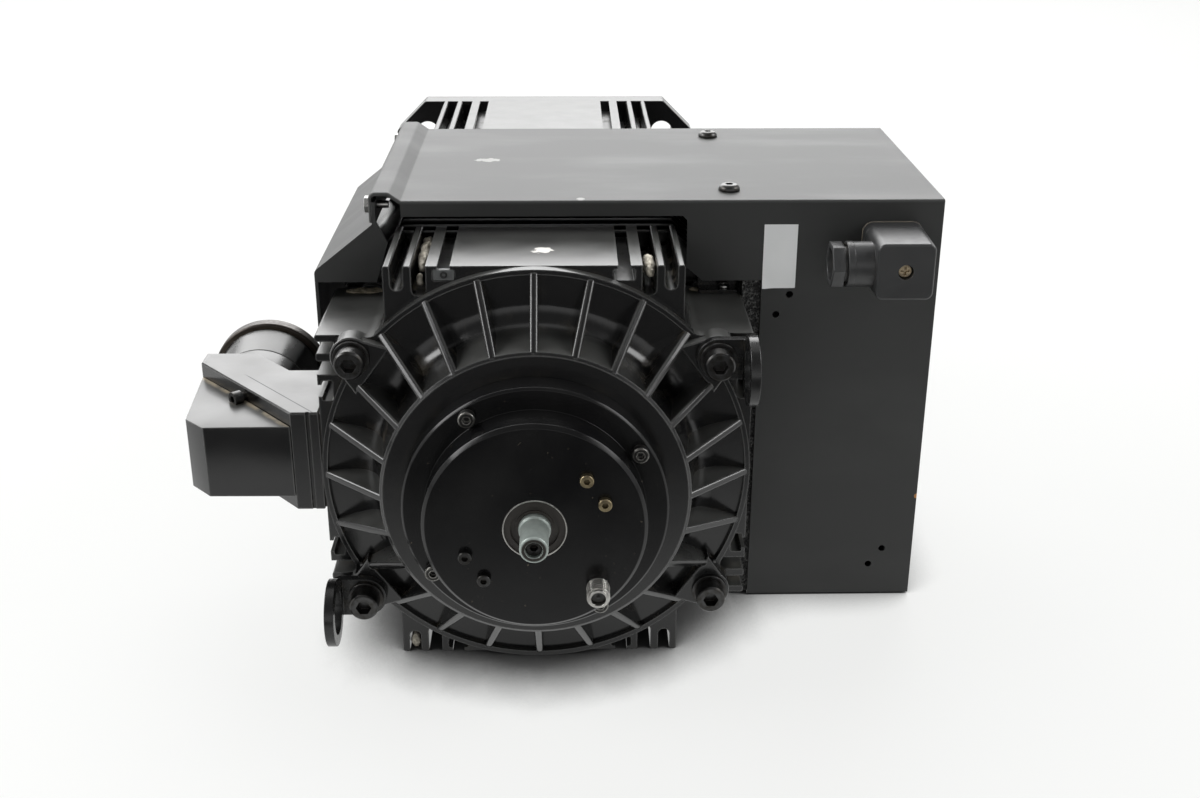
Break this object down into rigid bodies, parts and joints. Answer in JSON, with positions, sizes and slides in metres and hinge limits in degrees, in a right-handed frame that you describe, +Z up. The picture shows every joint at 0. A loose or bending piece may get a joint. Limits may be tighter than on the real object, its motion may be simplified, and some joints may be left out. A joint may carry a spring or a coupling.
{
  "type": "induction motor",
  "caption": "Square flange-mounted induction motor with deep fins, a side blower box over its middle, an angled power connector and a rear sensor cover",
  "frame": {"origin": "middle of the drive flange's mounting face, on the shaft axis", "axes": "+Y out along the drive shaft, +Z up, +X towards the blower box"},
  "size_m": [0.3607, 0.5213, 0.211],
  "materials": {
    "painted_casting": "gloss black enamel on cast aluminium",
    "black_cover": "satin black, machined edge",
    "painted_steel": "black paint on steel strip",
    "powder_coated_sheet": "matt dark grey powder coat on steel sheet",
    "zinc_screws": "zinc plated",
    "brass_screws": "bare brass",
    "black_oxide_steel": "black oxide",
    "nickel_connector": "nickel plated",
    "bronzed_rim": "dark bronze anodised",
    "machined_steel": "turned steel",
    "bearing_steel": "ground steel",
    "lamination_steel": "stacked sheet",
    "cast_aluminium_bars": "cast",
    "winding_copper": "varnished copper",
    "black_plastic": "moulded",
    "seal_rubber": "moulded",
    "cable_sheath": "extruded",
    "foam": "closed-cell foam",
    "blank_label": "blank grey foil"
  },
  "bodies": {
    "motor_body": {"drive_end_casting": "painted_casting", "stator_frame": "painted_casting", "rear_casting": "painted_casting", "rear_end_bell": "painted_casting", "rear_cover": "black_cover", "cover_screws": "zinc_screws", "sensor_screws_brass": "brass_screws", "sensor_screws_black": "black_oxide_steel", "sensor_heads": "black_plastic", "sensor_connector": "nickel_connector", "sensor_connector_insert": "black_plastic", "rear_shaft_seal": "seal_rubber", "drive_shaft_seal": "seal_rubber", "stator_core": "lamination_steel", "stator_windings": "winding_copper", "drive_bearing_outer_ring": "bearing_steel", "rear_bearing_outer_ring": "bearing_steel", "wave_spring": "bearing_steel", "inner_bearing_cap": "machined_steel", "inner_cap_screws": "black_oxide_steel", "tie_bolts": "black_oxide_steel", "tie_bolt_washers": "black_oxide_steel", "lifting_lugs": "painted_steel", "power_gasket": "seal_rubber", "power_housing": "painted_casting", "power_cover": "painted_casting", "power_cover_screws": "black_oxide_steel", "receptacle_shell": "painted_casting", "receptacle_rim": "bronzed_rim", "receptacle_insert": "black_plastic", "receptacle_pins": "brass_screws", "duct_cover": "powder_coated_sheet", "duct_side_sheet": "powder_coated_sheet", "box_back_panel": "powder_coated_sheet", "duct_hex_screws": "zinc_screws", "button_screws": "black_oxide_steel", "cover_brackets": "painted_steel", "bracket_screws": "zinc_screws", "foam_seals": "foam", "fan_frame": "black_plastic", "fan_guard": "painted_steel", "fan_screws": "black_oxide_steel", "fan_lead": "cable_sheath", "plug_gasket": "seal_rubber", "plug_socket": "black_plastic", "plug_housing": "black_plastic", "gland_nut": "black_plastic", "gland_seal": "seal_rubber", "plug_screw": "black_oxide_steel", "supply_label": "blank_label"},
    "rotor": {"motor_shaft": "machined_steel", "stub_end_screw": "black_oxide_steel", "rotor_core": "lamination_steel", "rotor_cage": "cast_aluminium_bars", "sensor_wheel": "machined_steel", "drive_bearing_inner_ring": "bearing_steel", "rear_bearing_inner_ring": "bearing_steel"},
    "drive_ball_set": {"drive_bearing_cage_and_balls": "bearing_steel"},
    "rear_ball_set": {"rear_bearing_cage_and_balls": "bearing_steel"},
    "blower_fan": {"fan_impeller": "black_plastic"}
  },
  "joints": [
    {"name": "shaft_spin", "type": "hinge", "parent": "motor_body", "child": "rotor", "pos_m": [0, 0, 0], "axis": [0, 1, 0], "continuous": true},
    {"name": "drive_ball_set_spin", "type": "hinge", "parent": "motor_body", "child": "drive_ball_set", "pos_m": [0, -0.0245, 0], "axis": [0, 1, 0], "continuous": true},
    {"name": "rear_ball_set_spin", "type": "hinge", "parent": "motor_body", "child": "rear_ball_set", "pos_m": [0, -0.3801, 0], "axis": [0, 1, 0], "continuous": true},
    {"name": "blower_spin", "type": "hinge", "parent": "motor_body", "child": "blower_fan", "pos_m": [0.167, -0.24052, 0.008], "axis": [1, 0, 0], "continuous": true}
  ],
  "couplings": [
    {"joint": "drive_ball_set_spin", "follows": "shaft_spin", "ratio": 0.3838},
    {"joint": "rear_ball_set_spin", "follows": "shaft_spin", "ratio": 0.3756}
  ]
}
